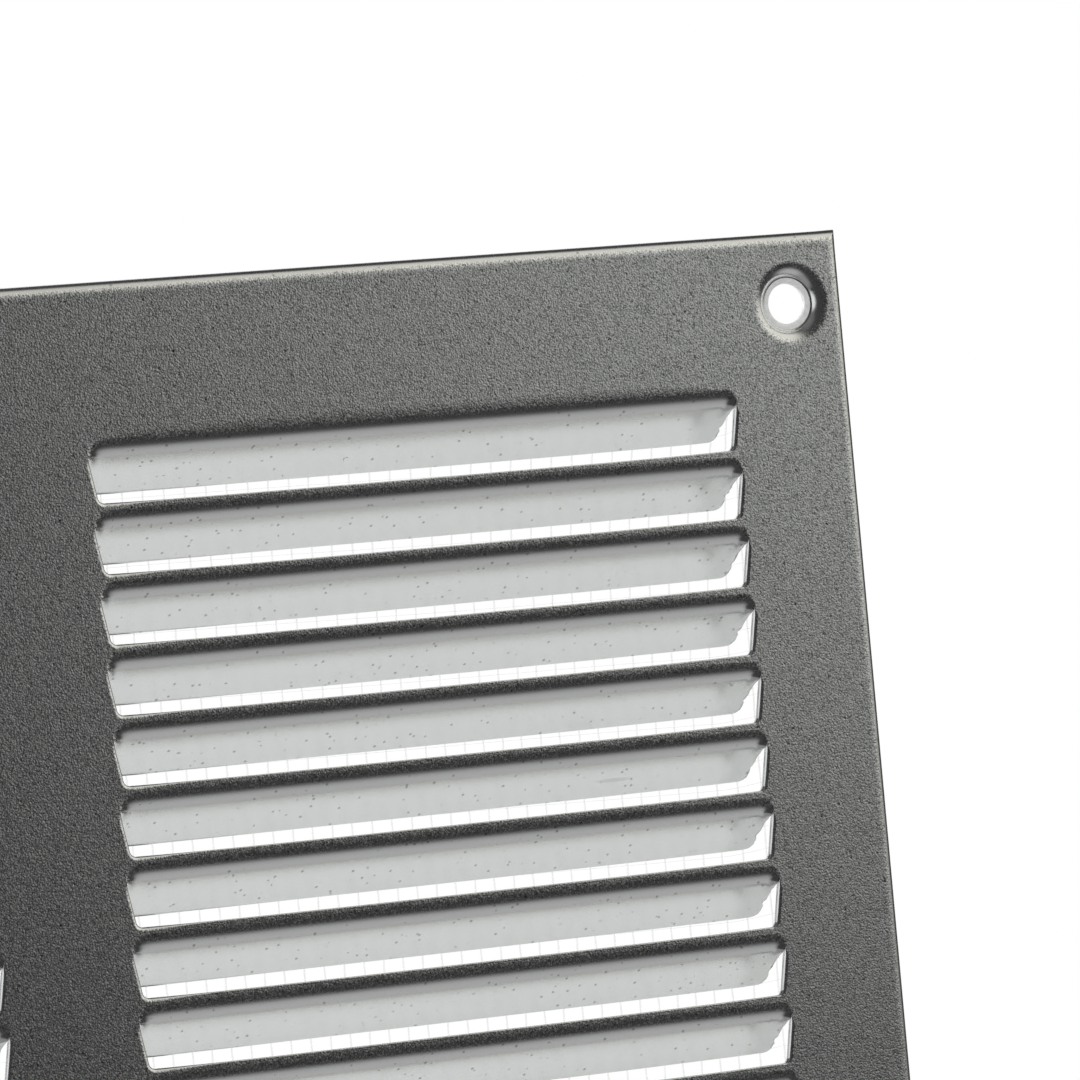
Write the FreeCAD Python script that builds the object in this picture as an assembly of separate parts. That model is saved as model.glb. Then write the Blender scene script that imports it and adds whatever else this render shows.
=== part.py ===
import FreeCAD, Part
import math
import os

# Louvred ventilation grille: one pressed and folded steel sheet, with an insect net behind its slats.
# Units are millimetres. The origin is the centre of the four screw holes, in the plane of their seats.
# +X is to the right as seen from the front, +Y goes into the wall, +Z is up.

# Sheet and rim
plate_width = 200.0
plate_height = 200.0
sheet = 0.6
rim_inner_radius = 0.8
corner_seam = 0.3

# Louvres
rows = 22
columns = 2
row_pitch = 7.55
web = 0.6
louvre_length = 76.0
column_gap = 16.8
field_rise = 0.3
end_taper_deg = 10.0
lower_corner_radius = 0.9
run_out_length = 1.6
run_out_height = 0.9
slat_angle_deg = 45.0
slat_inner_radius = 2.4
slat_depth = 4.5
slat_corner_cut = 0.6

# Screw holes, each in the flat seat of a pressed dimple
hole_side_inset = 6.7
hole_end_inset = 7.9
hole_radius = 2.25
seat_width = 0.75
dimple_wall_width = 0.95
dimple_roll_width = 0.7
dimple_roll_depth = 0.23
dimple_depth = 0.92

# Insect net, with one strand for every seven of the real ones
net_margin = 3.0
gaps_across = 10
gaps_up = 10
strand_width = 0.9
weft_thickness = 0.4
warp_thickness = 0.28
net_to_slats = 0.1
net_to_wall = 0.6

# Worked out from the sizes above
half_width = plate_width / 2
half_height = plate_height / 2
rim_outer_radius = rim_inner_radius + sheet
opening_height = row_pitch - web
end_taper = math.radians(end_taper_deg)
top_length = louvre_length + 2 * opening_height * math.tan(end_taper)
column_pitch = louvre_length + column_gap
field_width = (columns - 1) * column_pitch + top_length
field_height = (rows - 1) * row_pitch + opening_height
slat_angle = math.radians(slat_angle_deg)
slat_outer_radius = slat_inner_radius + sheet
slat_back = slat_depth + sheet * math.cos(slat_angle)
rim_depth = slat_back + net_to_slats + weft_thickness + net_to_wall
front = -dimple_depth
seat_radius = hole_radius + seat_width
dimple_radius = seat_radius + dimple_wall_width + dimple_roll_width


def point(x, y, z):
    return FreeCAD.Vector(x, y, z)


def rounded_block(inset, radius):
    """A block of the plate's outline, its front at inset behind the face, with rounded front edges."""
    width = plate_width - 2 * inset
    height = plate_height - 2 * inset
    corner = point(-width / 2, front + inset, -height / 2)
    block = Part.makeBox(width, rim_depth, height, corner)
    face_edges = [edge for edge in block.Edges if edge.BoundBox.YMax < corner.y + radius]
    return block.makeFillet(radius, face_edges)


def folded_plate():
    """The flat face with its four edges folded back to the wall, open at each corner seam."""
    outer = rounded_block(0, rim_outer_radius)
    inner = rounded_block(sheet, rim_inner_radius)
    seam = sheet + corner_seam
    seams = []
    for side in (-1, 1):
        for end in (-1, 1):
            middle = point(side * half_width, front + rim_outer_radius, end * half_height)
            low = middle - point(seam, 0, seam)
            seams.append(Part.makeBox(2 * seam, rim_depth, 2 * seam, low))
    return outer.cut(inner).cut(Part.makeCompound(seams))


def opening_block(low_radius):
    """A louvre's outline, narrower at its foot and bevelled where the bend runs out, through its depth."""
    low = louvre_length / 2
    high = low + (opening_height - run_out_height) * math.tan(end_taper)
    right = [
        point(low, 0, 0),
        point(high, 0, opening_height - run_out_height),
        point(high - run_out_length, 0, opening_height),
    ]
    left = [point(-corner.x, 0, corner.z) for corner in right]
    outline = Part.makePolygon(right + left[::-1] + right[:1])
    block = Part.Face(outline).extrude(point(0, rim_depth, 0))
    if not low_radius:
        return block
    foot = [edge for edge in block.Edges if edge.BoundBox.ZMax < low_radius and is_along_y(edge)]
    return block.makeFillet(low_radius, foot)


def is_along_y(edge):
    return edge.BoundBox.YLength > edge.BoundBox.XLength + edge.BoundBox.ZLength


def slat_section():
    """The slat from the side: a wide bend back from the face, then a straight blade to its free edge."""
    axis = point(0, slat_outer_radius, opening_height)

    def bend(radius):
        shares = (0, 0.5, 1)
        angles = [slat_angle * share for share in shares]
        return [axis - point(0, radius * math.cos(a), radius * math.sin(a)) for a in angles]

    outer = bend(slat_outer_radius)
    inner = bend(slat_inner_radius)
    blade = (slat_depth - outer[-1].y) / math.sin(slat_angle)
    along = point(0, math.sin(slat_angle), -math.cos(slat_angle)) * blade
    edges = [
        Part.Arc(*outer).toShape(),
        Part.makeLine(outer[-1], outer[-1] + along),
        Part.makeLine(outer[-1] + along, inner[-1] + along),
        Part.makeLine(inner[-1] + along, inner[-1]),
        Part.Arc(*inner[::-1]).toShape(),
        Part.makeLine(inner[0], outer[0]),
    ]
    return Part.Face(Part.Wire(edges))


def slat():
    """The tab of a louvre, as long as the opening it was sheared from, with its free corners cut off."""
    section = slat_section()
    section.translate(point(-top_length / 2, 0, 0))
    tab = section.extrude(point(top_length, 0, 0)).common(opening_block(0))
    free_end = tab.BoundBox.YMax - sheet / 2
    corners = [edge for edge in tab.Edges if edge.BoundBox.YMax > free_end and edge.Length < 2 * sheet]
    return tab.makeChamfer(slat_corner_cut, corners)


def louvre_places():
    """The middle of each opening's lower edge, on the front face."""
    top_foot = field_height / 2 - opening_height + field_rise
    left = -(columns - 1) * column_pitch / 2
    places = []
    for column in range(columns):
        for row in range(rows):
            places.append(point(left + column * column_pitch, front, top_foot - row * row_pitch))
    return places


def hole_places():
    """The centre of each screw hole, on the front face."""
    x = half_width - hole_side_inset
    z = half_height - hole_end_inset
    return [point(side * x, front, end * z) for side in (-1, 1) for end in (-1, 1)]


def dimple():
    """The pressed seat of a screw: a rolled edge, a cone and a flat ring round the hole."""
    front_side = [
        point(dimple_radius, 0, 0),
        point(dimple_radius - dimple_roll_width, dimple_roll_depth, 0),
        point(seat_radius, dimple_depth, 0),
        point(hole_radius, dimple_depth, 0),
    ]
    back_side = [corner + point(0, sheet, 0) for corner in front_side]
    outline = Part.makePolygon(front_side + back_side[::-1] + front_side[:1])
    return Part.Face(outline).revolve(point(0, 0, 0), point(0, 1, 0), 360)


def copies(shape, places):
    """The shape moved to each place, as a list."""
    moved = []
    for place in places:
        copy = shape.copy()
        copy.translate(place)
        moved.append(copy)
    return moved


def louvred_plate():
    """The whole sheet: folded, pierced, with its slats bent back and its screw seats pressed."""
    seat_blank = Part.makeCylinder(dimple_radius, sheet, point(0, 0, 0), point(0, 1, 0))
    openings = copies(opening_block(lower_corner_radius), louvre_places())
    pierced = folded_plate().cut(Part.makeCompound(openings + copies(seat_blank, hole_places())))
    pressed = copies(slat(), louvre_places()) + copies(dimple(), hole_places())
    return pierced.multiFuse(pressed).removeSplitter()


def insect_net():
    """The net as one flat lattice behind the slats: level strands, and upright strands a little thinner."""
    width = field_width + 2 * net_margin
    height = field_height + 2 * net_margin
    left = -width / 2
    low = -height / 2 + field_rise
    net_front = front + slat_back + net_to_slats
    across_step = (width - strand_width) / gaps_across
    up_step = (height - strand_width) / gaps_up
    strands = []
    for index in range(gaps_up + 1):
        corner = point(left, net_front, low + index * up_step)
        strands.append(Part.makeBox(width, weft_thickness, strand_width, corner))
    for index in range(gaps_across + 1):
        corner = point(left + index * across_step, net_front, low)
        strands.append(Part.makeBox(strand_width, warp_thickness, height, corner))
    return strands[0].multiFuse(strands[1:]).removeSplitter()


os.makedirs("parts", exist_ok=True)
for name, shape in (("louvred_plate", louvred_plate()), ("insect_net", insect_net())):
    print(name, len(shape.Solids), "solid,", round(shape.Volume, 1), "mm3, valid", shape.isValid())
    shape.exportStep("parts/" + name + ".step")
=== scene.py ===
import math
import random

import bmesh
import bpy
import numpy as np
from mathutils import Matrix, Vector
from mathutils.geometry import delaunay_2d_cdt


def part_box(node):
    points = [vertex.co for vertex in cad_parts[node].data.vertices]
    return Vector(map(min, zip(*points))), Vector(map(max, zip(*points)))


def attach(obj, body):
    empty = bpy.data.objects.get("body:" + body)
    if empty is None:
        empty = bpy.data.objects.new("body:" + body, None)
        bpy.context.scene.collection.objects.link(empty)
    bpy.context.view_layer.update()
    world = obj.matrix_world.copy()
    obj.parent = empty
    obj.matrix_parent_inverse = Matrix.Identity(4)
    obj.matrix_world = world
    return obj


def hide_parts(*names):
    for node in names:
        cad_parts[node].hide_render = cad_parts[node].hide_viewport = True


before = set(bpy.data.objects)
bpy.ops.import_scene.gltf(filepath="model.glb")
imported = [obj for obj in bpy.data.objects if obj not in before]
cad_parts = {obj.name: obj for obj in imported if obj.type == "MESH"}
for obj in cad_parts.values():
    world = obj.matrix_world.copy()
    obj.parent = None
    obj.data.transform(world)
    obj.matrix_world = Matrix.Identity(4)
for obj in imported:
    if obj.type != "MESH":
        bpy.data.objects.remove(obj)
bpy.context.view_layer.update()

# Sizes below are in millimetres, as on the drawing, and meshes are scaled to metres when they are made
MM = 0.001
plate_low, plate_high = [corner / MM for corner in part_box("louvred_plate")]
net_low, net_high = [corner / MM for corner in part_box("insect_net")]

# The plate
HALF_WIDTH = plate_high.x
HALF_HEIGHT = plate_high.z
FACE_Y = plate_low.y
RIM_DEPTH = plate_high.y - plate_low.y
SHEET = 0.6
PLATE_SHARP_DEG = 35.0

# The louvres and their openings
ROWS = 22
COLUMNS = 2
ROW_PITCH = 7.55
COLUMN_PITCH = 92.8
FIRST_FOOT = HALF_HEIGHT - 23.9
FOOT_LENGTH = 76.0
OPENING_HEIGHT = 6.95
END_TAPER = math.tan(math.radians(10.0))
FOOT_CORNER = 0.9
SLAT_ANGLE = math.radians(45.0)

# The sheared edge of an opening is rolled over. The roll grows from nothing below the cut's top. It is
# smaller along the foot, away from the foot's left end, and the foot rises a little towards both ends
EDGE_ROLL = 0.45
ROLL_MARGIN = 0.03
ROLL_STEPS = 4
SHEARED_FROM = 2
FORMING_LENGTH = 1.1
FOOT_ROLL_SHARE = 0.24
FOOT_ROLL_REACH = 7.0
FOOT_LIFT = 0.22
FOOT_LIFT_REACH = 8.0
SIDE_SHARES = (0, 0.03, 0.07, 0.12, 0.18, 0.28, 0.45, 0.7, 1)
CORNER_STEPS = 7
FOOT_STEPS = (1.0, 2.5, 4.5, 8.0, 14.0, 24.0)

# The bend of a slat, in the middle and right at an end, where it sits lower and is tighter and steeper
BEND_START = (OPENING_HEIGHT, OPENING_HEIGHT - 1.6)
BEND_RADIUS = (3.3, 0.53)
BEND_FIRST_ANGLE = (math.radians(4.5), 0.0)
BEND_LAST_ANGLE = (math.radians(43.5), math.radians(59.0))
END_REACH = {"left": 2.4, "right": 1.7}
END_POWER = 3.0

# Above each bend the face is drawn in a little, less so near the ends and further down the plate, and the top
# row draws it in further up
SAG_REACH = 0.42
END_SAG_REACH = 0.06
SAG_FADE = 8.0
TOP_SAG_STRETCH = 2.6
SAG_WEAKENING = 0.93

# The levels of a slat, measured from the top of its opening: the sag, the bend, then the blade to its free
# edge. The first FLAT_LEVELS lie in the flat face. Levels up to CUT_END are above the sheared cut, where
# the slat and the face are still one sheet
SAG_RISES = (1.08 * SAG_REACH, SAG_REACH, 0.5 * SAG_REACH, 0.0)
BEND_RISES = (-0.2, -0.45, -0.7, -0.95, -1.2, -1.5, -1.65, -1.8, -1.92, -2.02, -2.2, -2.45)
BLADE_RISES = (
    -2.7, -3.0, -3.3, -3.6, -3.85, -4.05, -4.22, -4.38, -4.55, -4.75, -4.95, -5.15, -5.35, -5.5
)
EDGE_RISES = (-5.58, -5.64, -5.69, -5.725, -5.743)
FLAT_LEVELS = 2
CUT_END = 9

# Where a slat has points along its length: distances from each end, then even steps between
END_STEPS = (0, 0.22, 0.4, 0.6, 0.82, 1.08, 1.4, 1.9, 2.5, 3.2)
MIDDLE_STEP = 12.0
MIDDLE_MARGIN = 1.5

# The ends of a slat stand clear of the line they were sheared on, and each has one nick, by its distance to
# the free edge. What moves an end fades away along the slat
END_CLEARANCE = 0.04
CLEARANCE_REACH = 2.0
NICK_PLACE = 2.08
NICK_DRIFT = 0.12
NICK_DEPTH = (0.2, 0.3)
NICK_SPREAD = 0.45

# The shears left a burr proud of the slat's front along the left of its free edge, and tore its two ends
# unevenly
BURR_WIDTH = 0.22
BURR_HEIGHT = 0.15
BURR_REACH = 11.0
TEAR_START = CUT_END + 4
END_TEAR = 0.13
TORN_SHARE = 0.6

# A pressed screw seat: a rolled edge, a steep wall, a fillet, the seat and the lip of its hole
HOLE_SIDE_INSET = 6.7
HOLE_END_INSET = 7.9
HOLE_RADIUS = 2.25
SEAT_RADIUS = 2.88
DIMPLE_DEPTH = 0.92
DIMPLE_MARGIN = 0.12
DIMPLE_WALL = math.radians(53.0)
DIMPLE_ROLL = 1.9
DIMPLE_ROLL_STEPS = 10
DIMPLE_FILLET = 0.3
FILLET_STEPS = 4
LIP_RADIUS = 0.30
LIP_STEPS = 8
ROUND_STEPS = 72

# The rings of a screw seat that the punch has rubbed: from the seat's outer edge to the end of its hole
SEAT_RING = DIMPLE_ROLL_STEPS + FILLET_STEPS + 2
SEAT_END = SEAT_RING + LIP_STEPS + 2

# The folded rim. Its sides lean in by TIP_RISE away from their corners, within TIP_REACH of them
RIM_RADIUS = 1.4
RIM_MARGIN = 0.15
RIM_STEPS = 12
RIM_INNER_STEPS = 6
SEAM = 0.9
TIP_RISE = 0.05
TIP_REACH = 2.6

# Where a side of the rim has points, as distances from its corner, and the least step between two of them
RIM_MARKS = (SEAM, TIP_REACH / 2, TIP_REACH, 6.0, 20.0)
RIM_LEAST_STEP = 0.3

# The net: its meshes, one strand of each set whose place is known, and how far strands go over and under
NET_ACROSS = 2.384
NET_UP = 2.451
NET_STRAND_X = 13.07
NET_STRAND_Z = 46.79
NET_EDGE = 0.6
NET_TAIL = 0.5
WEAVE = 0.07
STRAND_RADIUS = {"net_warp": 0.12, "net_weft": 0.035}
STRAND_CORNERS = [math.pi * share for share in (0.25, 0.75, 1.25, 1.75)]
NET_SHARP_DEG = 60.0

# How the soft net is pulled out of square. Its uprights spread towards its top, its level strands slope,
# and both wander. A wave is its height, how fast it turns along x and along z, and where it starts
FLARE = 0.0187
TOP_FLARE = 2.4
FLARE_HEIGHT = 76.0
FLARE_FADE = 18.0
LEVEL_SLOPE = -0.015
LEVEL_MIDDLE = 50.0
UPRIGHT_WAVES = ((0.07, 0.11, 0.07, 0.0), (0.05, 0.31, -0.19, 1.0))
LEVEL_WAVES = ((0.07, 0.09, -0.13, 2.0),)
NET_HELD = 6.0

# The numbers of the plate's materials after the first, which is the rolled sheet itself
PUNCHED = 1
SHEARED = 2

random.seed(4)


class Sheet:
    """Collects the points and faces of one mesh, in mm: x to the right, depth behind the face, z up."""

    def __init__(self):
        self.points = []
        self.faces = []
        self.finish = {}

    def add(self, x, depth, z):
        self.points.append((x, FACE_Y + depth, z))
        return len(self.points) - 1

    def face(self, *corners):
        ring = []
        for corner in corners:
            if corner not in ring:
                ring.append(corner)
        if len(ring) > 2:
            self.faces.append(ring)

    def finish_from(self, start, finish):
        """Gives every face made since a start its own finish, by the number of its material."""
        self.finish.update((index, finish) for index in range(start, len(self.faces)))

    def strip(self, first, second):
        """Quads between two rows of points of equal length."""
        for a, b, c, d in zip(first, first[1:], second[1:], second):
            self.face(a, b, c, d)

    def tube(self, rings):
        """Quads from each closed ring of points to the next."""
        for first, second in zip(rings, rings[1:]):
            self.strip(first + first[:1], second + second[:1])

    def flat(self, outer, holes):
        """Fills the flat stretch between an outer ring and the rings of its holes."""
        rings = [outer] + holes
        used = [index for ring in rings for index in ring]
        flat_points = [Vector((self.points[index][0], self.points[index][2])) for index in used]
        edges = []
        start = 0
        for ring in rings:
            count = len(ring)
            edges += [(start + k, start + (k + 1) % count) for k in range(count)]
            start += count
        whole_hull, tolerance = 0, 1e-6
        result = delaunay_2d_cdt(flat_points, edges, [], whole_hull, tolerance)
        origin = [used[sources[0]] for sources in result[3]]
        shapes = [np.array([self.points[index] for index in ring])[:, [0, 2]] for ring in holes]
        boxes = [(shape.min(0), shape.max(0)) for shape in shapes]
        for triangle in result[2]:
            corners = [result[0][k] for k in triangle]
            middle = sum(corners, Vector((0, 0))) / 3
            if not any(inside(middle, shape, box) for shape, box in zip(shapes, boxes)):
                self.face(*[origin[k] for k in triangle])

    def make(self, name, sharp_deg):
        """The finished object: scaled to metres, with smooth shading except over sharp edges."""
        mesh = bpy.data.meshes.new(name)
        mesh.from_pydata([tuple(c * MM for c in p) for p in self.points], [], self.faces)
        for index, finish in self.finish.items():
            mesh.polygons[index].material_index = finish
        shape = bmesh.new()
        shape.from_mesh(mesh)
        loose = [v for v in shape.verts if not v.link_faces]
        bmesh.ops.delete(shape, geom=loose, context="VERTS")
        bmesh.ops.recalc_face_normals(shape, faces=shape.faces)
        shape.to_mesh(mesh)
        shape.free()
        mesh.shade_smooth()
        mesh.set_sharp_from_angle(angle=math.radians(sharp_deg))
        made = bpy.data.objects.new(name, mesh)
        bpy.context.scene.collection.objects.link(made)
        return made


def inside(point, shape, box):
    """Is a flat point inside a closed ring of points?"""
    low, high = box
    if not (low[0] < point.x < high[0] and low[1] < point.y < high[1]):
        return False
    ahead = np.roll(shape, -1, axis=0)
    spans = (shape[:, 1] > point.y) != (ahead[:, 1] > point.y)
    here, there = shape[spans], ahead[spans]
    share = (point.y - here[:, 1]) / (there[:, 1] - here[:, 1])
    return int((point.x < here[:, 0] + share * (there[:, 0] - here[:, 0])).sum()) % 2 == 1


def smooth(share):
    """A share from 0 to 1 that starts and ends gently."""
    share = min(max(share, 0.0), 1.0)
    return share * share * (3 - 2 * share)


def quarter_round(radius, steps):
    """A rounded edge from the flat to the wall, as points of inset and depth."""
    angles = [math.pi / 2 * k / steps for k in range(steps + 1)]
    return [(radius * (1 - math.sin(angle)), radius * (1 - math.cos(angle))) for angle in angles]


def sag_reach(from_end):
    """How far above the opening the face is drawn in, at a distance from the end of the slat."""
    return END_SAG_REACH + (SAG_REACH - END_SAG_REACH) * smooth(from_end / SAG_FADE)


def slat_depth(height, hold, reach=SAG_REACH, sag=1.0):
    """The depth of the slat's front at a height over the foot. hold is 0 along the slat and 1 at its end."""
    start, radius, first, last = [
        middle * (1 - hold) + end * hold
        for middle, end in (BEND_START, BEND_RADIUS, BEND_FIRST_ANGLE, BEND_LAST_ANGLE)
    ]
    first *= sag
    if height >= start:
        drawn = max(0.0, start + reach - height)
        return math.tan(first) * drawn**2 / (2 * reach)
    zero = start + radius * math.sin(first)
    lead = radius * (1 - math.cos(first))
    run = min(zero - height, radius * math.sin(last))
    depth = radius - math.sqrt(radius**2 - run**2) - lead + math.tan(first) * reach / 2
    depth += (zero - height - run) * math.tan(last)
    if hold:
        depth = min(depth, slat_depth(height, 0.0, reach, sag))
    return depth


def slat_rows():
    """For each level of the slat: its height, its height before bending and its distance to the edge."""
    heights = [OPENING_HEIGHT + rise for rise in SAG_RISES + BEND_RISES + BLADE_RISES + EDGE_RISES]
    places = [(height, slat_depth(height, 0.0)) for height in heights]
    steps = [math.hypot(h1 - h0, d1 - d0) for (h0, d0), (h1, d1) in zip(places, places[1:])]
    rows = []
    for k, height in enumerate(heights):
        left = sum(steps[k:])
        unbent = OPENING_HEIGHT * left / sum(steps[1:])
        rows.append((height, unbent, left))
    return rows


SLAT_ROWS = slat_rows()
CUT_TOP, CUT_UNBENT = SLAT_ROWS[CUT_END][:2]


def slat_stations():
    """Distances along the slat: near an end they follow that end, and in the middle they are fixed."""
    reach = FOOT_LENGTH / 2 - END_STEPS[-1] - MIDDLE_MARGIN
    count = int(2 * reach / MIDDLE_STEP)
    middle = [reach * (2 * k / count - 1) for k in range(count + 1)]
    stations = [("left", step) for step in END_STEPS]
    stations += [("middle", x) for x in middle]
    return stations + [("right", step) for step in reversed(END_STEPS)]


STATIONS = slat_stations()


def edge_x(height):
    """Half the length of the opening at a height over its foot."""
    return FOOT_LENGTH / 2 + height * END_TAPER


def foot_rise(from_end):
    """How far the opening's foot, and the slat's free edge with it, lies above its middle."""
    return FOOT_LIFT * math.exp(-max(0.0, from_end) / FOOT_LIFT_REACH)


def end_inset(left, nick):
    """How far the slat's end stands in from the line it was sheared on: clearance, rounded corner, nick."""
    inset = END_CLEARANCE
    if left < FOOT_CORNER:
        reach = FOOT_CORNER - left
        inset += FOOT_CORNER - math.sqrt(FOOT_CORNER**2 - reach**2)
    centre, depth = nick
    return inset + depth * max(0.0, 1 - abs(left - centre) / NICK_SPREAD)


def slat_front(nicks, stretch, sag):
    """The front surface of one slat, as a grid of points over its foot: x, depth, height."""
    grid = np.zeros((len(STATIONS), len(SLAT_ROWS), 3))
    for i, (kind, along) in enumerate(STATIONS):
        for j, (height, unbent, left) in enumerate(SLAT_ROWS):
            x, hold = along, 0.0
            if kind != "middle":
                reach = edge_x(unbent if j > CUT_END else height)
                if j > CUT_END:
                    reach -= end_inset(left, nicks[kind]) * max(0.0, 1 - along / CLEARANCE_REACH)
                x = (along - reach) * (1 if kind == "left" else -1)
                hold = max(0.0, 1 - along / END_REACH[kind]) ** END_POWER
            reach = stretch * sag_reach(FOOT_LENGTH / 2 - abs(x))
            if height > OPENING_HEIGHT:
                height = OPENING_HEIGHT + (height - OPENING_HEIGHT) * reach / SAG_REACH
            depth = 0.0 if j < FLAT_LEVELS else slat_depth(height, hold, reach, sag)
            if j > CUT_END:
                shorter = foot_rise(FOOT_LENGTH / 2 - abs(x)) * (1 - unbent / CUT_UNBENT)
                depth = max(0.0, depth - shorter * math.sin(SLAT_ANGLE))
                height += shorter * math.cos(SLAT_ANGLE)
            grid[i, j] = (x, depth, height)
    return grid


def add_burr(grid):
    """Raises the burr along the free edge, highest at its left end, and drops torn bits at both ends."""
    burred = grid.copy()
    for i in range(len(STATIONS)):
        for j, (height, unbent, left) in enumerate(SLAT_ROWS):
            if i in (0, len(STATIONS) - 1) and j > TEAR_START:
                burred[i, j, 1] += END_TEAR if random.random() < TORN_SHARE else 0.0
            from_end = grid[i, j, 0] + FOOT_LENGTH / 2
            share = max(0.0, 1 - left / BURR_WIDTH)
            rise = BURR_HEIGHT * share**2 * (1 - smooth(from_end / BURR_REACH))
            burred[i, j] -= (0, rise * math.cos(SLAT_ANGLE), rise * math.sin(SLAT_ANGLE))
    return burred


def slat_back(grid):
    """The back surface of the slat: the front moved by the sheet's thickness, square to the surface."""
    along_x = np.gradient(grid, axis=0)
    along_z = np.gradient(grid, axis=1)
    normal = np.cross(along_z, along_x)
    normal /= np.linalg.norm(normal, axis=2, keepdims=True)
    normal *= np.sign(normal[:, :, 1:2])
    normal[:, :FLAT_LEVELS] = (0, 1, 0)
    normal[0, : CUT_END + 1] = (0, 1, 0)
    normal[-1, : CUT_END + 1] = (0, 1, 0)
    return grid + SHEET * normal


def louvre(sheet, centre_x, foot_z, stretch, sag):
    """One louvre. Returns the rings that its opening leaves in the flat front and the flat back."""
    nicks = {}
    for side in ("left", "right"):
        nicks[side] = (NICK_PLACE + random.uniform(-NICK_DRIFT, NICK_DRIFT), random.uniform(*NICK_DEPTH))
    grid = slat_front(nicks, stretch, sag)
    front = [[sheet.add(centre_x + x, d, foot_z + z) for x, d, z in row] for row in add_burr(grid)]
    back = [[sheet.add(centre_x + x, d, foot_z + z) for x, d, z in row] for row in slat_back(grid)]
    for i in range(len(STATIONS) - 1):
        sheet.strip(front[i], front[i + 1])
        sheet.strip(back[i + 1], back[i])
    sheet.strip([column[-1] for column in front], [column[-1] for column in back])
    sheet.strip(front[0][CUT_END:], back[0][CUT_END:])
    sheet.strip(back[-1][CUT_END:], front[-1][CUT_END:])
    loops = opening_edge(sheet, centre_x, foot_z, front, back)
    rings = []
    for skin, loop in ((front, loops[0]), (back, loops[-1])):
        top = [column[0] for column in skin]
        right = skin[-1][CUT_END - 1 : 0 : -1]
        left = skin[0][1:CUT_END]
        rings.append(loop[::-1] + right + top[::-1] + left)
    return rings


# The line that an opening is sheared on, as steps of place, outward way and share of the full roll. Its
# ends lean
LEAN = math.atan(END_TAPER)
OUTWARD = (math.cos(LEAN), -math.sin(LEAN))
CORNER_TOP = FOOT_CORNER * (1 - math.sin(LEAN))


def opening_side():
    """The sheared line down the opening's right end, from the top of the cut to the rounded corner."""
    side = []
    for share in SIDE_SHARES:
        height = CUT_TOP + (CORNER_TOP - CUT_TOP) * share
        side.append((edge_x(height), height, OUTWARD, smooth((CUT_TOP - height) / FORMING_LENGTH)))
    return side


def opening_corner():
    """The rounded corner between the right end and the foot, lowered or raised to meet the foot."""
    centre_x = edge_x(CORNER_TOP) - FOOT_CORNER * OUTWARD[0]
    centre_z = CORNER_TOP - FOOT_CORNER * OUTWARD[1]
    arc = []
    for k in range(1, CORNER_STEPS + 1):
        angle = -LEAN - (math.pi / 2 - LEAN) * k / CORNER_STEPS
        way = (math.cos(angle), math.sin(angle))
        arc.append((centre_x + FOOT_CORNER * way[0], centre_z + FOOT_CORNER * way[1], way, 1))
    drop = arc[-1][1] - foot_rise(FOOT_CORNER)
    return [(x, z - drop * (k + 1) / CORNER_STEPS, way, f) for k, (x, z, way, f) in enumerate(arc)]


def foot_roll_share(from_left):
    """The size of the roll along the foot, as a share of the roll at the opening's ends."""
    return FOOT_ROLL_SHARE + (1 - FOOT_ROLL_SHARE) * (1 - smooth(from_left / FOOT_ROLL_REACH))


def opening_foot(half):
    """The sheared line along the foot, from right to left."""
    steps = [half - step for step in FOOT_STEPS]
    foot = []
    for x in steps + [0.0] + [-x for x in reversed(steps)]:
        rise = foot_rise(FOOT_CORNER + half - abs(x))
        foot.append((x, rise, (0, -1), foot_roll_share(x + half)))
    return foot


def opening_path():
    """The whole sheared line, down the right end, along the foot and up the left end."""
    side = opening_side()
    corner = opening_corner()
    left = [(-x, z, (-way[0], way[1]), f) for x, z, way, f in (side + corner)[::-1]]
    right = []
    for k, (x, z, way, formed) in enumerate(corner):
        lost = (1 - FOOT_ROLL_SHARE) * (k + 1) / CORNER_STEPS
        right.append((x, z, way, formed * (1 - lost)))
    return side + right + opening_foot(corner[-1][0]) + left


OPENING_PATH = opening_path()


def opening_edge(sheet, centre_x, foot_z, front, back):
    """The rolled edge and the wall of the opening, from the flat front to the flat back."""
    profile = [(EDGE_ROLL + ROLL_MARGIN, 0.0)] + quarter_round(EDGE_ROLL, ROLL_STEPS)
    loops = []
    for out, depth in profile + [(0.0, SHEET)]:
        loop = []
        last = depth == SHEET
        for x, z, (nx, nz), formed in OPENING_PATH[1:-1]:
            share = 1 if last else formed
            reach = out * formed
            loop.append(sheet.add(centre_x + x + nx * reach, depth * share, foot_z + z + nz * reach))
        source = back if last else front
        loops.append([source[-1][CUT_END]] + loop + [source[0][CUT_END]])
    for k, (first, second) in enumerate(zip(loops, loops[1:])):
        start = len(sheet.faces)
        sheet.strip(first, second)
        if k >= SHEARED_FROM:
            sheet.finish_from(start, SHEARED)
    return loops


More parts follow.
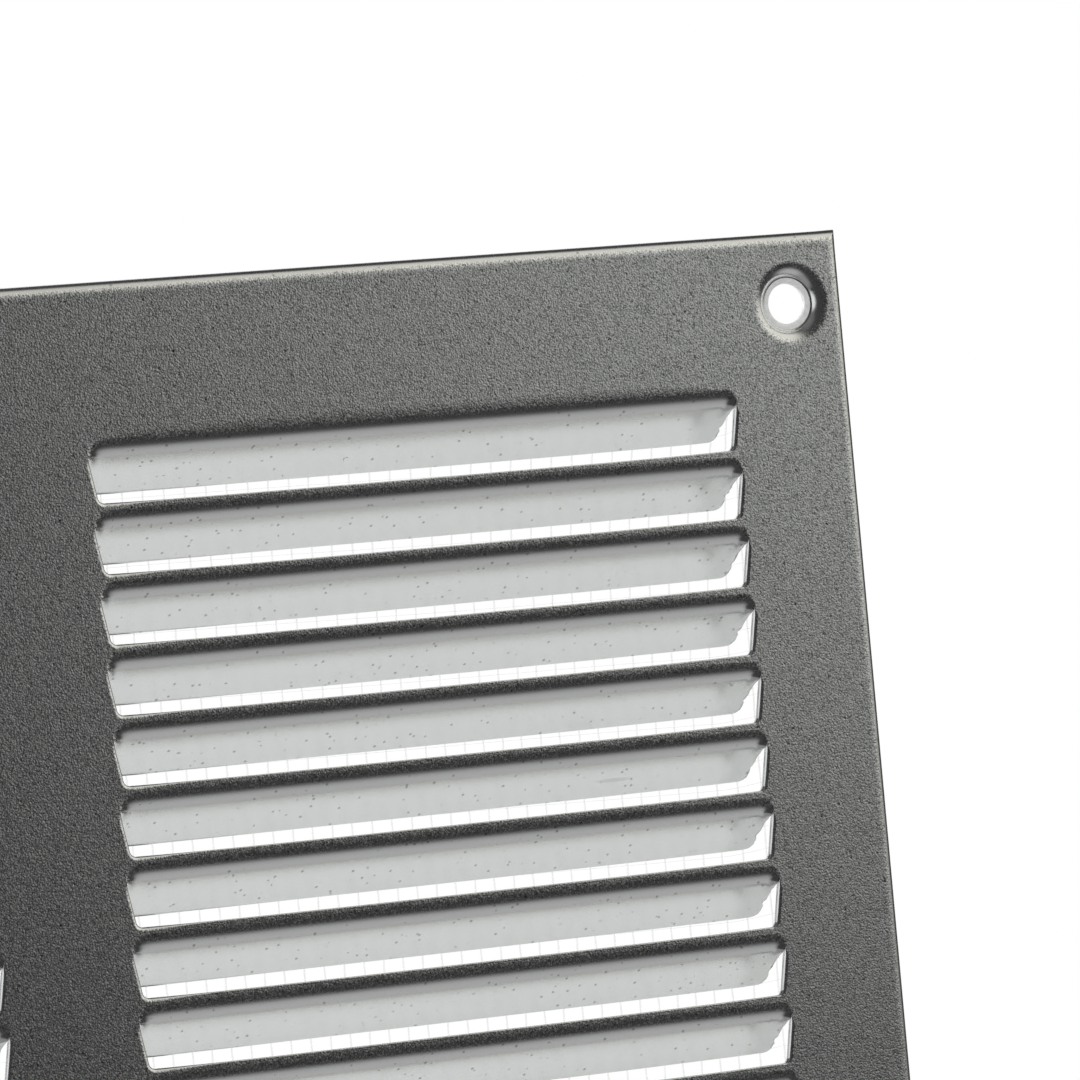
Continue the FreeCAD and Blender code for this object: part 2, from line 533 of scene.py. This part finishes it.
def dimple_profile():
    """The pressed screw seat as radius and depth, from the face to the hole and back along the rear."""
    roll_out = DIMPLE_ROLL * math.sin(DIMPLE_WALL)
    roll_down = DIMPLE_ROLL * (1 - math.cos(DIMPLE_WALL))
    fillet_out = DIMPLE_FILLET * math.sin(DIMPLE_WALL)
    fillet_down = DIMPLE_FILLET * (1 - math.cos(DIMPLE_WALL))
    wall_out = (DIMPLE_DEPTH - roll_down - fillet_down) / math.tan(DIMPLE_WALL)
    outer = SEAT_RADIUS + roll_out + fillet_out + wall_out
    profile = [(outer + DIMPLE_MARGIN, 0.0)]
    for k in range(DIMPLE_ROLL_STEPS + 1):
        angle = DIMPLE_WALL * k / DIMPLE_ROLL_STEPS
        profile.append((outer - DIMPLE_ROLL * math.sin(angle), DIMPLE_ROLL * (1 - math.cos(angle))))
    for k in range(FILLET_STEPS, -1, -1):
        angle = DIMPLE_WALL * k / FILLET_STEPS
        out = SEAT_RADIUS + DIMPLE_FILLET * math.sin(angle)
        profile.append((out, DIMPLE_DEPTH - DIMPLE_FILLET * (1 - math.cos(angle))))
    lip = quarter_round(LIP_RADIUS, LIP_STEPS)
    profile += [(HOLE_RADIUS + inset, DIMPLE_DEPTH + depth) for inset, depth in lip]
    return profile + dimple_rear(outer)


def dimple_rear(outer):
    """The rear of a screw seat, from its hole to the flat back, rounded where the sheet turns."""
    low = DIMPLE_DEPTH + SHEET
    return [
        (HOLE_RADIUS, low),
        (SEAT_RADIUS - 0.2, low),
        (SEAT_RADIUS + 0.05, low - 0.08),
        (outer - 0.9, SHEET + 0.25),
        (outer - 0.35, SHEET + 0.06),
        (outer + 0.05, SHEET),
    ]


def dimple(sheet, centre_x, centre_z):
    """A pressed screw seat. Returns its rings in the flat front and the flat back."""
    turns = [2 * math.pi * k / ROUND_STEPS for k in range(ROUND_STEPS)]
    rings = []
    for radius, depth in dimple_profile():
        spots = [(centre_x + radius * math.cos(turn), centre_z + radius * math.sin(turn)) for turn in turns]
        rings.append([sheet.add(x, depth, z) for x, z in spots])
    sheet.tube(rings[: SEAT_RING + 1])
    start = len(sheet.faces)
    sheet.tube(rings[SEAT_RING : SEAT_END + 1])
    sheet.finish_from(start, PUNCHED)
    sheet.tube(rings[SEAT_END:])
    return rings[0], rings[-1]


def rim_places(half_run, inset, own_corner):
    """Places along one side of a rim ring. own_corner is 1 if it has points at its two corners."""
    marks = [max(mark, inset + RIM_LEAST_STEP * (k + 1)) for k, mark in enumerate(RIM_MARKS)]
    places = [half_run - mark for mark in marks] + [half_run / 2, 0.0]
    places = [half_run - inset] * own_corner + places
    return [-place for place in places] + places[-2::-1]


def rim_ring(inset, depth, own_corner):
    """A ring of the rim, side by side: each side is a list of x and z from corner to corner."""
    fade = min(1.0, depth / RIM_RADIUS)
    sides = []
    for turn in range(4):
        half_run, half_off = (HALF_WIDTH, HALF_HEIGHT) if turn % 2 == 0 else (HALF_HEIGHT, HALF_WIDTH)
        side = []
        for along in rim_places(half_run, inset, own_corner):
            settle = TIP_RISE * fade * smooth((half_run - abs(along)) / TIP_REACH)
            off = half_off - inset - settle
            side.append([(along, off), (off, -along), (-along, -off), (-off, along)][turn])
        sides.append(side)
    return sides


def closed_ring(sheet, inset, depth):
    """One ring of the rim, added to the sheet."""
    return [sheet.add(x, depth, z) for side in rim_ring(inset, depth, 1) for x, z in side[:-1]]


def as_sides(ring):
    """A closed ring of the rim as its four sides, each with both of its corners."""
    count = len(ring) // 4
    closed = ring + ring[:1]
    return [closed[k * count : (k + 1) * count + 1] for k in range(4)]


def rim_walls(sheet, edge_outer, edge_inner):
    """The rim's four sides from the fold to the wall behind, each closed where it ends at a corner seam."""
    back_outer = rim_ring(0.0, RIM_DEPTH, 0)
    back_inner = rim_ring(SHEET, RIM_DEPTH, 0)
    for turn in range(4):
        top_out = edge_outer[turn][1:-1]
        top_in = edge_inner[turn][1:-1]
        low_out = [sheet.add(x, RIM_DEPTH, z) for x, z in back_outer[turn]]
        low_in = [sheet.add(x, RIM_DEPTH, z) for x, z in back_inner[turn]]
        sheet.strip(top_out, low_out)
        sheet.strip(low_out, low_in)
        start = len(sheet.faces)
        sheet.strip(low_in, top_in)
        sheet.finish_from(start, PUNCHED)
        for end in (0, -1):
            sheet.face(top_out[end], low_out[end], low_in[end], top_in[end])
        outer, inner = edge_outer[turn], edge_inner[turn]
        for a, b in ((0, 1), (-2, -1)):
            sheet.face(outer[a], outer[b], inner[b], inner[a])


def rim(sheet):
    """The folded rim. Returns its rings in the flat front and the flat back."""
    outer = [(RIM_RADIUS + RIM_MARGIN, 0.0)] + quarter_round(RIM_RADIUS, RIM_STEPS)
    fold = quarter_round(RIM_RADIUS - SHEET, RIM_INNER_STEPS)[::-1]
    inner = [(SHEET + inset, SHEET + depth) for inset, depth in fold] + [(RIM_RADIUS + RIM_MARGIN, SHEET)]
    outer_rings = [closed_ring(sheet, inset, depth) for inset, depth in outer]
    inner_rings = [closed_ring(sheet, inset, depth) for inset, depth in inner]
    sheet.tube(outer_rings)
    start = len(sheet.faces)
    sheet.tube(inner_rings)
    sheet.finish_from(start, PUNCHED)
    rim_walls(sheet, as_sides(outer_rings[-1]), as_sides(inner_rings[0]))
    return outer_rings[0], inner_rings[-1]


def build_plate():
    """The whole plate as one mesh: rim, louvres and screw seats, joined by the flat front and back."""
    sheet = Sheet()
    front_outer, back_outer = rim(sheet)
    pairs = []
    for column in range(COLUMNS):
        centre_x = (column - (COLUMNS - 1) / 2) * COLUMN_PITCH
        for row in range(ROWS):
            stretch = TOP_SAG_STRETCH if row == 0 else 1.0
            sag = SAG_WEAKENING**row
            pairs.append(louvre(sheet, centre_x, FIRST_FOOT - row * ROW_PITCH, stretch, sag))
    for side in (-1, 1):
        for end in (-1, 1):
            x = side * (HALF_WIDTH - HOLE_SIDE_INSET)
            z = end * (HALF_HEIGHT - HOLE_END_INSET)
            pairs.append(dimple(sheet, x, z))
    sheet.flat(front_outer, [front for front, back in pairs])
    sheet.flat(back_outer, [back for front, back in pairs])
    return sheet.make("pressed_plate", PLATE_SHARP_DEG)


def strand(sheet, centre_line, radius):
    """A thin four-sided strand along a line of points (x, depth, z)."""
    line = np.array(centre_line)
    along = np.gradient(line, axis=0)
    along /= np.linalg.norm(along, axis=1, keepdims=True)
    across = np.cross(along, (0, 1, 0))
    across /= np.linalg.norm(across, axis=1, keepdims=True)
    upward = np.cross(across, along)
    rings = []
    for place, a, u in zip(line, across, upward):
        corners = [place + radius * (math.cos(turn) * a + math.sin(turn) * u) for turn in STRAND_CORNERS]
        rings.append([sheet.add(*corner) for corner in corners])
    sheet.tube(rings)
    sheet.face(*rings[0])
    sheet.face(*rings[-1][::-1])


def strand_places(low, high, spacing, one):
    """Every place between low and high that is a whole number of spacings from one strand."""
    first = math.ceil((low + NET_EDGE - one) / spacing)
    last = math.floor((high - NET_EDGE - one) / spacing)
    return [one + spacing * k for k in range(first, last + 1)]


def strand_stops(index, kind, others):
    """The stops along a strand: over or under each strand it crosses, in turn, and level between them."""
    stops = [(others[0] - NET_TAIL, 0)]
    for k, other in enumerate(others):
        stops.append((other, 1 if (index + k + kind) % 2 == 0 else -1))
        if k + 1 < len(others):
            stops.append(((other + others[k + 1]) / 2, 0))
    return stops + [(others[-1] + NET_TAIL, 0)]


def wander(waves, x, z):
    return sum(height * math.sin(across * x + up * z + start) for height, across, up, start in waves)


def net_drift(x, z):
    """How far the soft net is pulled out of square at a place. Its outer edges are held."""
    flare = FLARE * (x - NET_STRAND_X) * (TOP_FLARE * math.exp((z - FLARE_HEIGHT) / FLARE_FADE) - 1.0)
    slope = LEVEL_SLOPE * (x - LEVEL_MIDDLE)
    edge = min(x - net_low.x, net_high.x - x, z - net_low.z, net_high.z - z)
    loose = smooth(edge / NET_HELD)
    return (flare + wander(UPRIGHT_WAVES, x, z)) * loose, (slope + wander(LEVEL_WAVES, x, z)) * loose


def build_net():
    """The woven net, as one object for its upright strands and one for its level ones."""
    xs = strand_places(net_low.x, net_high.x, NET_ACROSS, NET_STRAND_X)
    zs = strand_places(net_low.z, net_high.z, NET_UP, NET_STRAND_Z)
    middle = (net_low.y + net_high.y) / 2 - FACE_Y
    made = []
    for kind, name in enumerate(("net_warp", "net_weft")):
        sheet = Sheet()
        ours, others = (xs, zs) if kind == 0 else (zs, xs)
        for index, own in enumerate(ours):
            line = []
            for stop, over in strand_stops(index, kind, others):
                x, z = (own, stop) if kind == 0 else (stop, own)
                dx, dz = net_drift(x, z)
                line.append((x + dx, middle + WEAVE * over, z + dz))
            strand(sheet, line, STRAND_RADIUS[name])
        made.append(sheet.make(name, NET_SHARP_DEG))
    return made


class Nodes:
    """A short way to write a material's nodes."""

    def __init__(self, tree):
        self.tree = tree

    def add(self, kind, inputs=None, **settings):
        node = self.tree.nodes.new(kind)
        for key, value in settings.items():
            setattr(node, key, value)
        for key, value in (inputs or {}).items():
            if isinstance(value, bpy.types.NodeSocket):
                self.tree.links.new(value, node.inputs[key])
            else:
                node.inputs[key].default_value = value
        return node

    def noise(self, place, scale, detail=0.0):
        node = self.add("ShaderNodeTexNoise", {"Vector": place, "Scale": scale, "Detail": detail})
        return node.outputs[0]

    def ramp(self, source, stops):
        node = self.add("ShaderNodeValToRGB", {"Fac": source})
        for element, (place, colour) in zip(node.color_ramp.elements, stops):
            element.position = place
            element.color = (*colour, 1)
        return node.outputs["Color"]

    def fade(self, source, nothing, full):
        """0 where the source is at one value, 1 where it is at the other, with a smooth step between."""
        node = self.add("ShaderNodeMapRange", {"Value": source}, interpolation_type="SMOOTHSTEP")
        node.inputs["From Min"].default_value = nothing
        node.inputs["From Max"].default_value = full
        return node.outputs["Result"]

    def math(self, operation, first, second=0.0, third=0.0):
        node = self.add("ShaderNodeMath", {0: first, 1: second, 2: third}, operation=operation)
        return node.outputs[0]

    def vector(self, operation, first, second=(0, 0, 0)):
        node = self.add("ShaderNodeVectorMath", {0: first, 1: second}, operation=operation)
        return node.outputs["Value" if operation in ("LENGTH", "DOT_PRODUCT") else "Vector"]

    def mix(self, share, first, colour):
        """A colour laid over the first one by a share. The node's colour sockets are known by number only."""
        node = self.add("ShaderNodeMix", {"Factor": share, 6: first, 7: (*colour, 1)}, data_type="RGBA")
        return node.outputs[2]

    def surface(self, shader, kind="ShaderNodeOutputMaterial"):
        self.add(kind, {"Surface": shader.outputs[0]})


def grey(level):
    return (level, level, level)


def new_material(name):
    material = bpy.data.materials.new(name)
    material.use_nodes = True
    material.node_tree.nodes.clear()
    return material, Nodes(material.node_tree)


# How deep below the face the rolled grain stays whole and where it is gone, and its strength above and below
GRAIN_DEPTH = (0.04, 0.20)
FACE_BUMP = 0.45
SLAT_BUMP = 0.08
FACE_SPECKLE = 1.6
SLAT_SPECKLE = 0.06
FACE_TONE = 0.84
SLAT_TONE = 0.83
FACE_ROUGH = 0.13
SLAT_ROUGH = 0.23
STEEL_TINT = (0.985, 1.0, 0.99)

# The fineness of the grain, its speckle and the mottle, in turns a metre, and how the grain makes the steel
# dull
GRAIN_SCALE = 5200.0
SPECK_SCALE = 6100.0
MOTTLE_SCALE = 1100.0
MOTTLE_HEIGHT = 0.3
BUMP_DISTANCE = 0.00003
DULL_GRAIN = (0.48, 0.72)
DULL_ROUGH = 0.22

# Small pits, only where the mottle is high
PIT_SCALE = 950.0
PIT_EDGE = (0.24, 0.08)
PIT_PATCHES = (0.45, 0.55)
PIT_HEIGHT = -0.5
PIT_TONE = -0.35

# Marks of wear seen in the photograph: middle x and z, half width, half height and how much they darken. A
# nick in the right edge, a row of specks under the top edge, a smudge on a slat and a scratch on the first
WEAR = (
    (99.17, 94.64, 0.28, 0.09, 0.6),
    (92.69, 98.39, 0.1, 0.09, 0.5),
    (93.19, 98.3, 0.16, 0.09, 0.4),
    (93.82, 98.35, 0.1, 0.09, 0.55),
    (94.58, 98.36, 0.13, 0.09, 0.45),
    (95.21, 98.39, 0.1, 0.09, 0.4),
    (67.46, 41.35, 3.0, 0.3, 0.12),
    (38.51, 78.94, 0.1, 0.25, 0.4),
    (38.82, 79.08, 0.25, 0.07, 0.4),
)
WEAR_CORE = 0.4


def worn(n, place, tone):
    """The tone of the steel with its marks of wear."""
    for x, z, half_x, half_z, darkening in WEAR:
        offset = n.vector("SUBTRACT", place, (x * MM, 0, z * MM))
        scaled = n.vector("MULTIPLY", offset, (1 / (half_x * MM), 0, 1 / (half_z * MM)))
        away = n.vector("LENGTH", scaled)
        tone = n.math("MULTIPLY_ADD", n.fade(away, 1.0, WEAR_CORE), -darkening, tone)
    return tone


def steel_material():
    """Bare rolled sheet: satin, with a speckled grain that the press has smoothed away below the face."""
    material, n = new_material("rolled_steel")
    place = n.add("ShaderNodeTexCoord").outputs["Object"]
    grain = n.noise(place, GRAIN_SCALE)
    speck = n.noise(place, SPECK_SCALE)
    mottle = n.noise(place, MOTTLE_SCALE)
    depth = n.add("ShaderNodeSeparateXYZ", {0: place}).outputs["Y"]
    on_face = n.fade(depth, (FACE_Y + GRAIN_DEPTH[1]) * MM, (FACE_Y + GRAIN_DEPTH[0]) * MM)
    pits = n.add("ShaderNodeTexVoronoi", {"Vector": place, "Scale": PIT_SCALE}).outputs["Distance"]
    pit = n.math("MULTIPLY", n.fade(pits, *PIT_EDGE), n.fade(mottle, *PIT_PATCHES))
    height = n.math("MULTIPLY_ADD", mottle, MOTTLE_HEIGHT, grain)
    height = n.math("MULTIPLY_ADD", pit, PIT_HEIGHT, height)
    strength = n.math("MULTIPLY_ADD", on_face, FACE_BUMP - SLAT_BUMP, SLAT_BUMP)
    bump = n.add("ShaderNodeBump", {"Height": height, "Strength": strength, "Distance": BUMP_DISTANCE})
    amount = n.math("MULTIPLY_ADD", on_face, FACE_SPECKLE - SLAT_SPECKLE, SLAT_SPECKLE)
    level = n.math("MULTIPLY_ADD", on_face, FACE_TONE - SLAT_TONE, SLAT_TONE)
    tone = n.math("MULTIPLY_ADD", n.math("SUBTRACT", speck, 0.5), amount, level)
    tone = worn(n, place, n.math("MULTIPLY_ADD", pit, PIT_TONE, tone))
    shaded = [n.math("MULTIPLY", tone, share) for share in STEEL_TINT]
    colour = n.add("ShaderNodeCombineColor", dict(enumerate(shaded)))
    satin = n.math("MULTIPLY_ADD", n.fade(grain, *DULL_GRAIN), DULL_ROUGH, FACE_ROUGH - SLAT_ROUGH)
    rough = n.math("MULTIPLY_ADD", satin, on_face, SLAT_ROUGH)
    shader = n.add(
        "ShaderNodeBsdfPrincipled",
        {"Base Color": colour.outputs[0], "Metallic": 1.0, "Roughness": rough, "Normal": bump.outputs[0]},
    )
    n.surface(shader)
    return material


def punched_material():
    """The same steel where the tool has rubbed it dull: a screw hole's seat and lip, and inside the fold."""
    material, n = new_material("punched_steel")
    place = n.add("ShaderNodeTexCoord").outputs["Object"]
    grain = n.noise(place, 1800.0, 1.0)
    colour = n.ramp(grain, [(0.3, (0.74, 0.75, 0.74)), (0.7, (0.84, 0.85, 0.84))])
    n.surface(n.add("ShaderNodeBsdfPrincipled", {"Base Color": colour, "Metallic": 0.3, "Roughness": 0.5}))
    return material


def sheared_material():
    """The same steel where the shears have drawn its grain smooth: the rolled edge of an opening."""
    material, n = new_material("sheared_steel")
    look = {"Base Color": (*grey(SLAT_TONE), 1), "Metallic": 1.0, "Roughness": SLAT_ROUGH}
    n.surface(n.add("ShaderNodeBsdfPrincipled", look))
    return material


CLEAR_SHARE = 0.84


def net_material():
    """Thin milky plastic strand, which lets part of the light behind it through."""
    material, n = new_material("net_strand")
    place = n.add("ShaderNodeTexCoord").outputs["Object"]
    noise = n.noise(place, 700.0, 1.0)
    colour = n.ramp(noise, [(0.3, (0.84, 0.84, 0.85)), (0.7, (0.90, 0.90, 0.91))])
    shader = n.add("ShaderNodeBsdfPrincipled", {"Base Color": colour, "Roughness": 0.4})
    clear = n.add("ShaderNodeBsdfTransparent")
    n.surface(n.add("ShaderNodeMixShader", {0: CLEAR_SHARE, 1: shader.outputs[0], 2: clear.outputs[0]}))
    return material


# What the bare metal mirrors, as round soft patches: azimuth from straight ahead of the plate towards +X,
# height above the horizon, angles at which the patch is full and gone, all in degrees, and its colour
DARK_ROOM = 0.045
PATCHES = {
    "white_backdrop": (180.0, 0.0, 31.0, 50.0, (1.0, 1.0, 1.0)),
    "table": (55.0, -70.0, 18.0, 42.5, (0.46, 0.46, 0.46)),
    "table_left": (-55.0, -64.0, 16.0, 34.0, (0.27, 0.27, 0.27)),
    "ground_behind": (148.0, -56.0, 20.0, 38.0, (0.52, 0.52, 0.515)),
    "softbox_halo": (66.0, 11.5, 32.5, 48.3, (0.437, 0.445, 0.432)),
    "softbox_core": (68.0, 35.0, 18.0, 44.0, (0.82, 0.80, 0.735)),
    "window": (-92.0, 0.0, 26.0, 41.0, (0.95, 0.96, 0.97)),
    "window_end": (-128.0, 0.0, 18.0, 30.0, (0.95, 0.96, 0.97)),
    "ceiling": (-70.0, 66.0, 10.0, 40.0, (0.16, 0.16, 0.16)),
    "overhead": (200.0, 62.0, 14.0, 34.0, (0.13, 0.13, 0.13)),
}

# The soft box stands in front of the plate and above the floor: where it is cut off along Y, and at which
# heights
SOFTBOX_BACK = (0.10, -0.06)
SOFTBOX_FOOT_DEG = (-9.0, 5.0)
SURROUND_RADIUS = 4.0


def direction(azimuth, height):
    azimuth, height = math.radians(azimuth), math.radians(height)
    return (math.sin(azimuth) * math.cos(height), -math.cos(azimuth) * math.cos(height), math.sin(height))


def surround_material():
    """A dark room with the soft patches of light on its walls."""
    material, n = new_material("studio_surround")
    place = n.add("ShaderNodeTexCoord").outputs["Object"]
    way = n.vector("NORMALIZE", place)
    axes = n.add("ShaderNodeSeparateXYZ", {0: way}).outputs
    in_front = n.fade(axes["Y"], *SOFTBOX_BACK)
    above_floor = n.fade(axes["Z"], *[math.sin(math.radians(height)) for height in SOFTBOX_FOOT_DEG])
    lit = n.math("MULTIPLY", in_front, above_floor)
    light = n.add("ShaderNodeCombineColor", dict(enumerate(grey(DARK_ROOM)))).outputs[0]
    for name, (azimuth, height, full, gone, colour) in PATCHES.items():
        toward = n.vector("DOT_PRODUCT", way, direction(azimuth, height))
        share = n.fade(toward, math.cos(math.radians(gone)), math.cos(math.radians(full)))
        if "softbox" in name:
            share = n.math("MULTIPLY", share, lit)
        light = n.mix(share, light, colour)
    n.surface(n.add("ShaderNodeEmission", {"Color": light, "Strength": 1.0}))
    return material


def surround():
    """The room round the object, as a dome that only the metal's gloss sees."""
    bpy.ops.mesh.primitive_uv_sphere_add(
        segments=48, ring_count=24, radius=SURROUND_RADIUS, location=(0, 0, 0)
    )
    dome = bpy.context.object
    dome.name = "studio_surround"
    dome.data.materials.append(surround_material())
    dome.visible_camera = False
    dome.visible_diffuse = False
    dome.visible_shadow = False
    dome.visible_transmission = False
    dome.visible_volume_scatter = False


# The world lights the object a little below white, and whatever looks straight at it sees plain white
WORLD_LEVEL = 0.8


def white_world():
    world = bpy.data.worlds.new("studio")
    bpy.context.scene.world = world
    world.use_nodes = True
    world.node_tree.nodes.clear()
    n = Nodes(world.node_tree)
    rays = n.add("ShaderNodeLightPath").outputs
    seen = n.math("MAXIMUM", rays["Is Camera Ray"], rays["Is Glossy Ray"])
    seen = n.math("MAXIMUM", seen, rays["Is Transmission Ray"])
    level = n.math("MULTIPLY_ADD", seen, 1 - WORLD_LEVEL, WORLD_LEVEL)
    sky = n.add("ShaderNodeBackground", {"Color": (1, 1, 1, 1), "Strength": level})
    n.surface(sky, "ShaderNodeOutputWorld")


# The floor, in metres: its radius, its drop below the plate, where it starts to fade, and its colour
FLOOR_RADIUS = 1.1
FLOOR_DROP = 0.0002
FLOOR_FADE = (0.25, 1.0)
FLOOR_COLOUR = (0.93, 0.93, 0.93, 1)


def pale_floor():
    """A pale floor under the plate, which fades into the white world round it."""
    bpy.ops.mesh.primitive_circle_add(
        vertices=96, radius=FLOOR_RADIUS, fill_type="NGON", location=(0, 0, 0)
    )
    floor = bpy.context.object
    floor.name = "studio_floor"
    floor.data.transform(Matrix.Translation((0, 0, -HALF_HEIGHT * MM - FLOOR_DROP)))
    material, n = new_material("pale_floor")
    place = n.add("ShaderNodeTexCoord").outputs["Object"]
    reach = n.vector("LENGTH", n.vector("MULTIPLY", place, (1, 1, 0)))
    fade = n.ramp(reach, [(FLOOR_FADE[0], grey(0.0)), (FLOOR_FADE[1], grey(1.0))])
    white = n.add("ShaderNodeBsdfDiffuse", {"Color": FLOOR_COLOUR})
    clear = n.add("ShaderNodeBsdfTransparent")
    n.surface(n.add("ShaderNodeMixShader", {0: fade, 1: white.outputs[0], 2: clear.outputs[0]}))
    floor.data.materials.append(material)
    floor.visible_glossy = False


# Each lamp's place and size in metres, and its power in watts
LAMPS = {
    "front_lamp": ((-0.7, -0.5, 1.2), 0.9, 4.0),
    "back_lamp": ((-0.45, 0.55, 0.25), 0.4, 4.0),
}


def soft_lamp(name, spot, size, energy):
    """A round soft lamp that points at the object and isn't mirrored in it."""
    data = bpy.data.lights.new(name, "AREA")
    data.shape = "DISK"
    data.size = size
    data.energy = energy
    lamp = bpy.data.objects.new(name, data)
    bpy.context.scene.collection.objects.link(lamp)
    lamp.location = spot
    lamp.rotation_euler = (-lamp.location).to_track_quat("-Z", "Y").to_euler()
    lamp.visible_glossy = False


# The photograph's camera, fitted to the louvre lines, the hole and the plate's two outer edges
CAMERA_YAW = math.radians(26.0)
CAMERA_PITCH = math.radians(0.30)
CAMERA_ROLL = math.radians(-5.19)
CAMERA_SPOT = (-318.335, -776.134, 63.814)
FOCAL_PX = 7898.0
FRAME_PX = 1080.0
SENSOR_WIDTH = 36.0
CLIP_START = 0.01


def place_camera():
    """The photograph's view: close to level, from the left, on the upper right corner, with a long lens."""
    sideways, ahead = math.sin(CAMERA_YAW), math.cos(CAMERA_YAW)
    flat = math.cos(CAMERA_PITCH)
    forward = Vector((sideways * flat, ahead * flat, math.sin(CAMERA_PITCH)))
    level = Vector((ahead, -sideways, 0))
    upright = level.cross(forward)
    right = level * math.cos(CAMERA_ROLL) + upright * math.sin(CAMERA_ROLL)
    up = upright * math.cos(CAMERA_ROLL) - level * math.sin(CAMERA_ROLL)
    data = bpy.data.cameras.new("camera")
    data.sensor_width = SENSOR_WIDTH
    data.lens = FOCAL_PX / FRAME_PX * SENSOR_WIDTH
    data.clip_start = CLIP_START
    camera = bpy.data.objects.new("camera", data)
    bpy.context.scene.collection.objects.link(camera)
    axes = Matrix((right, up, -forward)).transposed().to_4x4()
    camera.matrix_world = Matrix.Translation(Vector(CAMERA_SPOT) * MM) @ axes
    bpy.context.scene.camera = camera


bpy.context.scene.view_settings.view_transform = "Standard"
steel = steel_material()
strand_finish = net_material()

plate = build_plate()
for finish in (steel, punched_material(), sheared_material()):
    plate.data.materials.append(finish)
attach(plate, "root")
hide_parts("louvred_plate")

for piece in build_net():
    piece.data.materials.append(strand_finish)
    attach(piece, "root")
    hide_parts("insect_net")

for name, finish in (("louvred_plate", steel), ("insect_net", strand_finish)):
    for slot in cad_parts[name].material_slots:
        slot.material = finish

white_world()
pale_floor()
surround()
for name, (spot, size, energy) in LAMPS.items():
    soft_lamp(name, spot, size, energy)
place_camera()
